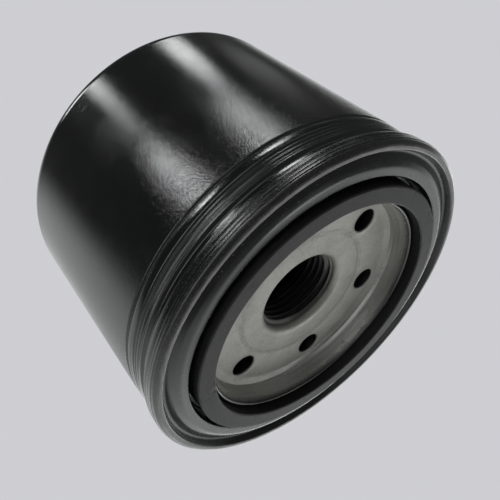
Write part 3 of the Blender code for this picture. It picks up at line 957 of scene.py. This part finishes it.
def rubber(name, dark, light, gloss, shaded_below=None):
    """Moulded rubber: soft grain, bloom and a little dust. Below a given height it is painted black as
    painted shade.
    """
    look = Finish(name, IOR=1.5, Specular_IOR_Level=0.22)
    grain = look.noise(1900.0, 4.0, 0.7)
    bloom = look.stretch(look.noise(170.0, 5.0, 0.65), 0.35, 0.72)
    dust = look.stretch(look.noise(2300.0, 2.0), 0.68, 0.76)
    colour = look.mix(bloom, dark, light)
    colour = look.mix(look.math("MULTIPLY", dust, 0.5), colour, (0.12, 0.118, 0.11))
    if shaded_below:
        # Painted shade: black below the height, for the shade in the gaps beside the gasket.
        painted_shade = look.stretch(look.height, shaded_below - 0.15 * MM, shaded_below, 1.0, 0.0)
        colour = look.mix(painted_shade, colour, (0.003, 0.003, 0.003))
    rough = look.stretch(grain, 0.3, 0.7, gloss - 0.06, gloss + 0.06)
    normal = look.bump(grain, 0.012)
    return look.wear(colour, rough, normal)


def bright_steel(name, base, tint, gloss, dark_inside=None):
    """Plated or drawn steel with rolling lines and small stains. Inside a given radius it is painted black
    as painted shade.
    """
    look = Finish(name, Metallic=0.9, IOR=1.5)
    lines = look.noise(1.0, 4.0, vector=look.around(6.0, 2100.0))
    cloud = look.stretch(look.noise(150.0, 4.0), 0.35, 0.7)
    stain = look.stretch(look.noise(600.0, 4.0, 0.7), 0.6, 0.75)
    colour = look.mix(cloud, base, tint)
    dull = tuple(0.45 * channel for channel in base)
    colour = look.mix(look.math("MULTIPLY", stain, 0.4), colour, dull)
    if dark_inside:
        # Painted shade: black inside the radius, for the shade seen down the bore.
        painted_shade = look.stretch(look.radius, dark_inside - 0.2 * MM, dark_inside, 1.0, 0.0)
        colour = look.mix(painted_shade, colour, (0.004, 0.004, 0.004))
    rough = look.stretch(lines, 0.3, 0.7, gloss - 0.07, gloss + 0.09)
    normal = look.bump(lines, 0.006, 0.7)
    return look.wear(colour, rough, normal)


def filter_paper():
    """Resin-treated paper: short fibres, mottling and darker folds."""
    look = Finish("filter_paper", IOR=1.45, Specular_IOR_Level=0.3)
    fibre = look.noise(2600.0, 6.0, 0.75, distortion=1.2)
    mottle = look.stretch(look.noise(380.0, 4.0), 0.3, 0.7)
    folds = look.stretch(look.radius, 13.5 * MM, 16.5 * MM, 0.35, 0.0)
    colour = look.mix(mottle, (0.60, 0.39, 0.15), (0.74, 0.53, 0.25))
    colour = look.mix(look.stretch(fibre, 0.45, 0.7, 0.0, 0.5), colour, (0.82, 0.66, 0.38))
    colour = look.mix(folds, colour, (0.36, 0.22, 0.08))
    rough = look.stretch(fibre, 0.3, 0.7, 0.78, 0.92)
    normal = look.bump(fibre, 0.03)
    return look.wear(colour, rough, normal)


def dull_paste(name, dark, light, gloss):
    """Set adhesive or sealing compound with pits and flow marks."""
    look = Finish(name, IOR=1.5)
    flow = look.stretch(look.noise(240.0, 3.0, distortion=1.0), 0.3, 0.7)
    pits = look.stretch(look.noise(1400.0, 2.0), 0.62, 0.75)
    colour = look.mix(flow, dark, light)
    colour = look.mix(look.math("MULTIPLY", pits, 0.5), colour, tuple(0.5 * channel for channel in dark))
    rough = look.stretch(flow, 0.0, 1.0, gloss - 0.08, gloss + 0.08)
    normal = look.bump(flow, 0.05, 0.6)
    normal = look.bump(pits, -0.02, 0.8, normal)
    return look.wear(colour, rough, normal)


def make_materials():
    """One material for each material slot of the record."""
    return {
        "can_paint": can_paint(),
        "lid_paint": lid_paint(),
        "seam_compound": dull_paste("seam_compound", (0.20, 0.05, 0.03), (0.30, 0.08, 0.04), 0.6),
        "plate_steel": plate_steel(),
        # The gasket is painted black below its sealing face as painted shade.
        "gasket_rubber": rubber(
            "gasket_rubber", (0.011, 0.011, 0.0105), (0.016, 0.016, 0.0155), 0.58, 59.85 * MM
        ),
        "valve_rubber": rubber("valve_rubber", (0.014, 0.014, 0.015), (0.024, 0.024, 0.025), 0.48),
        # The cap steel is painted black inside the centre tube as painted shade.
        "cap_steel": bright_steel(
            "cap_steel", (0.50, 0.50, 0.48), (0.58, 0.57, 0.54), 0.36, (TUBE_INNER + 0.3) * MM
        ),
        "adhesive": dull_paste("adhesive", (0.07, 0.08, 0.08), (0.12, 0.13, 0.13), 0.5),
        "filter_paper": filter_paper(),
        "zinc_steel": bright_steel("zinc_steel", (0.55, 0.55, 0.52), (0.60, 0.57, 0.46), 0.30),
        "seal_rubber": rubber("seal_rubber", (0.016, 0.016, 0.017), (0.026, 0.026, 0.027), 0.42),
        "spring_steel": bright_steel("spring_steel", (0.28, 0.28, 0.29), (0.34, 0.32, 0.29), 0.28),
    }


# ---------------------------------------------------------------- assembly


def build_pieces():
    """Build every piece, in place of its CAD node."""
    finish = make_materials()
    upper = end_cap_mesh("upper_end_cap", "element_cap_upper", TUBE_INNER, False)
    lower = end_cap_mesh("lower_end_cap", "element_cap_lower", RELIEF_HOLE, True)
    upper_glue = adhesive_mesh("upper_adhesive", "adhesive_upper")
    lower_glue = adhesive_mesh("lower_adhesive", "adhesive_lower")
    plan = [
        (canister_mesh(), "can_paint", "housing", "canister"),
        (lid_mesh(), "lid_paint", "housing", "gasket_retainer"),
        (compound_mesh(), "seam_compound", "housing", "seam_compound"),
        (gasket_mesh(), "gasket_rubber", "housing", "sealing_gasket"),
        (plate_mesh(), "plate_steel", "housing", "base_plate"),
        (valve_collar_mesh(), "valve_rubber", "housing", "check_valve_collar"),
        (valve_flap_mesh(), "valve_rubber", "check_valve", "check_valve_flap"),
        (upper, "cap_steel", "element", "upper_end_cap"),
        (lower, "cap_steel", "element", "lower_end_cap"),
        (upper_glue, "adhesive", "element", "upper_adhesive"),
        (lower_glue, "adhesive", "element", "lower_adhesive"),
        (paper_mesh(), "filter_paper", "element", "pleated_paper"),
        (clip_mesh(), "zinc_steel", "element", "pleat_clip"),
        (tube_mesh(), "cap_steel", "element", "centre_tube"),
        (relief_cage_mesh(), "zinc_steel", "element", "relief_valve_body"),
        (seat_mesh(), "zinc_steel", "element", "spring_seat"),
        (relief_seal_mesh(), "seal_rubber", "relief_valve", "relief_valve_seal"),
        (relief_disc_mesh(), "zinc_steel", "relief_valve", "relief_valve_disc"),
    ]
    for thing, slot, body, node in plan:
        install(thing, finish[slot], slot, body, node)
    spring = coil_mesh("element_coil_spring", "element_spring", 15.2, 0.8, 2.5)
    install_spring(spring, finish["spring_steel"], "element_spring")
    spring = coil_mesh("relief_coil_spring", "relief_valve_spring", 5.4, 0.5, 5)
    install_spring(spring, finish["spring_steel"], "relief_valve_spring")


# ---------------------------------------------------------------- camera, floor and light


def add_camera():
    """Camera close to the threaded end, looking down at it and strongly rolled."""
    data = bpy.data.cameras.new("camera")
    data.sensor_width = SENSOR_WIDTH
    data.lens = FOCAL_LENGTH
    data.clip_start = 1.0 * MM
    data.clip_end = 20.0
    turn = Matrix((CAMERA_RIGHT, CAMERA_UP, -Vector(CAMERA_FORWARD))).transposed().to_4x4()
    camera = bpy.data.objects.new("camera", data)
    camera.matrix_world = Matrix.Translation(Vector(CAMERA_PLACE) * MM) @ turn
    bpy.context.scene.collection.objects.link(camera)
    bpy.context.scene.camera = camera


STUDIO_GREY = (0.617, 0.617, 0.644)


def add_world():
    """Even grey surroundings that light the filter softly; gloss shows the soft boxes instead."""
    world = bpy.data.worlds.new("studio")
    world.use_nodes = True
    background = world.node_tree.nodes["Background"]
    background.inputs["Color"].default_value = (*STUDIO_GREY, 1.0)
    background.inputs["Strength"].default_value = 0.45
    world.cycles_visibility.glossy = False
    bpy.context.scene.world = world


def add_floor():
    """Large pale floor under the closed end, evenly lit."""
    half = 6.0
    shape = bmesh.new()
    bmesh.ops.create_grid(shape, x_segments=4, y_segments=4, size=half)
    floor = finish_mesh("studio_floor", shape)
    floor.location.z = -0.05 * MM
    material = bpy.data.materials.new("studio_floor")
    material.use_nodes = True
    tree = material.node_tree
    tree.nodes.clear()
    glow = tree.nodes.new("ShaderNodeEmission")
    glow.inputs["Color"].default_value = (*STUDIO_GREY, 1.0)
    output = tree.nodes.new("ShaderNodeOutputMaterial")
    tree.links.new(glow.outputs[0], output.inputs["Surface"])
    floor.data.materials.append(material)
    floor.visible_glossy = False
    floor.visible_shadow = False


# Soft boxes on the studio's dome: azimuth, elevation, half width, half height and tilt in degrees,
# then brightness. Only gloss sees them.
SOFT_BOXES = [
    (7.0, -53.0, 8.0, 4.5, 0.0, 5.5),
    (14.0, -48.0, 9.0, 4.5, 40.0, 1.3),
    (28.0, -38.6, 10.5, 4.8, 0.0, 17.0),
    (76.0, -60.0, 5.5, 5.0, 0.0, 9.0),
    (78.0, -52.0, 5.5, 6.0, 0.0, 1.0),
    (82.0, -41.6, 9.5, 4.8, 0.0, 23.0),
    (336.0, -45.0, 12.0, 6.0, 0.0, 0.3),
    (100.0, 4.0, 60.0, 5.0, 0.0, 6.5),
    (100.0, 20.0, 60.0, 9.0, 0.0, 1.5),
    (100.0, -70.0, 10.0, 7.0, 0.0, 8.0),
    (45.0, -13.0, 60.0, 9.0, 0.0, 1.3),
    (258.0, 8.0, 32.0, 12.0, 0.0, 2.0),
    (300.0, -14.0, 30.0, 13.0, 0.0, 1.8),
    (290.0, 62.0, 16.0, 18.0, 0.0, 3.5),
    (200.0, -14.0, 30.0, 12.0, 0.0, 1.5),
]
# The pale table beside the filter: the direction it lies in, and how bright it is at its edge and below
TABLE_WAY = (-0.636, -0.771, 0.0)
TABLE_EDGE = 1.1
TABLE_MIDDLE = 0.55
TABLE_FAR = 1.3
ROOM_BELOW = 0.075
ROOM_ABOVE = 0.20


def soft_box(look, azimuth, elevation, box):
    """Brightness of one soft box: full in its middle and fading to nothing at its edge."""
    centre, rise, half_width, half_height, tilt, brightness = box
    aside = look.math("SUBTRACT", azimuth, math.radians(centre))
    aside = look.math("WRAP", aside, math.pi, -math.pi)
    above = look.math("SUBTRACT", elevation, math.radians(rise))
    aside = look.math("MULTIPLY", aside, math.cos(math.radians(rise)))
    cosine, sine = math.cos(math.radians(tilt)), math.sin(math.radians(tilt))
    across = look.math("ADD", look.math("MULTIPLY", aside, cosine), look.math("MULTIPLY", above, sine))
    along = look.math("SUBTRACT", look.math("MULTIPLY", above, cosine), look.math("MULTIPLY", aside, sine))
    across = look.math("DIVIDE", across, math.radians(half_width))
    along = look.math("DIVIDE", along, math.radians(half_height))
    across_squared = look.math("POWER", look.math("ABSOLUTE", across), 2.0)
    along_squared = look.math("POWER", look.math("ABSOLUTE", along), 2.0)
    far = look.math("ADD", across_squared, along_squared)
    return look.stretch(far, 0.15, 1.0, brightness, 0.0)


def add_dome():
    """Dome that only gloss sees, with the soft boxes on it."""
    shape = bmesh.new()
    bmesh.ops.create_uvsphere(shape, u_segments=64, v_segments=32, radius=2.0)
    dome = finish_mesh("studio_dome", shape)
    look = Finish("studio_dome")
    ray = look.add("ShaderNodeVectorMath", look.place, operation="NORMALIZE").outputs[0]
    parts = look.add("ShaderNodeSeparateXYZ", ray).outputs
    azimuth = look.math("ARCTAN2", parts["Y"], parts["X"])
    elevation = look.math("ARCSINE", parts["Z"])
    toward = look.add("ShaderNodeVectorMath", ray, TABLE_WAY, operation="DOT_PRODUCT").outputs["Value"]
    shaded = look.stretch(elevation, math.radians(-35.0), math.radians(-5.0), TABLE_MIDDLE, TABLE_FAR)
    table = look.add("ShaderNodeMapRange", toward, 0.3, 0.9, TABLE_EDGE, shaded).outputs[0]
    table = look.math("MULTIPLY", look.stretch(toward, 0.05, 0.46), table)
    room = look.stretch(elevation, math.radians(-25.0), math.radians(15.0), ROOM_BELOW, ROOM_ABOVE)
    total = look.math("MAXIMUM", table, room)
    for box in SOFT_BOXES:
        total = look.math("ADD", total, soft_box(look, azimuth, elevation, box))
    emission = look.add("ShaderNodeEmission")
    emission.inputs["Color"].default_value = (0.98, 1.0, 1.0, 1.0)
    look.feed(emission.inputs["Strength"], total)
    output = look.tree.nodes["Material Output"]
    look.tree.links.new(emission.outputs[0], output.inputs["Surface"])
    look.tree.nodes.remove(look.shader)
    look.material.cycles.emission_sampling = "NONE"
    dome.data.materials.append(look.material)
    dome.visible_camera = False
    dome.visible_diffuse = False
    dome.visible_transmission = False
    dome.visible_shadow = False


def add_lamp(name, place, size, power):
    """Soft lamp aimed at the threaded end. Gloss doesn't see it: it sees the soft boxes."""
    data = bpy.data.lights.new(name, "AREA")
    data.shape = "DISK"
    data.size = size
    data.energy = power
    lamp = bpy.data.objects.new(name, data)
    aim = Vector((0.0, 0.0, 0.05))
    lamp.location = place
    lamp.rotation_euler = (aim - Vector(place)).to_track_quat("-Z", "Y").to_euler()
    lamp.visible_glossy = False
    bpy.context.scene.collection.objects.link(lamp)


def set_up_studio():
    """Camera, even surroundings, floor and soft light."""
    add_camera()
    add_world()
    add_floor()
    add_dome()
    add_lamp("key_lamp", (-0.35, -0.35, 0.8), 0.5, 3.0)
    bpy.context.scene.view_settings.view_transform = "Standard"
    bpy.context.scene.cycles.use_denoising = True


build_pieces()
set_up_studio()
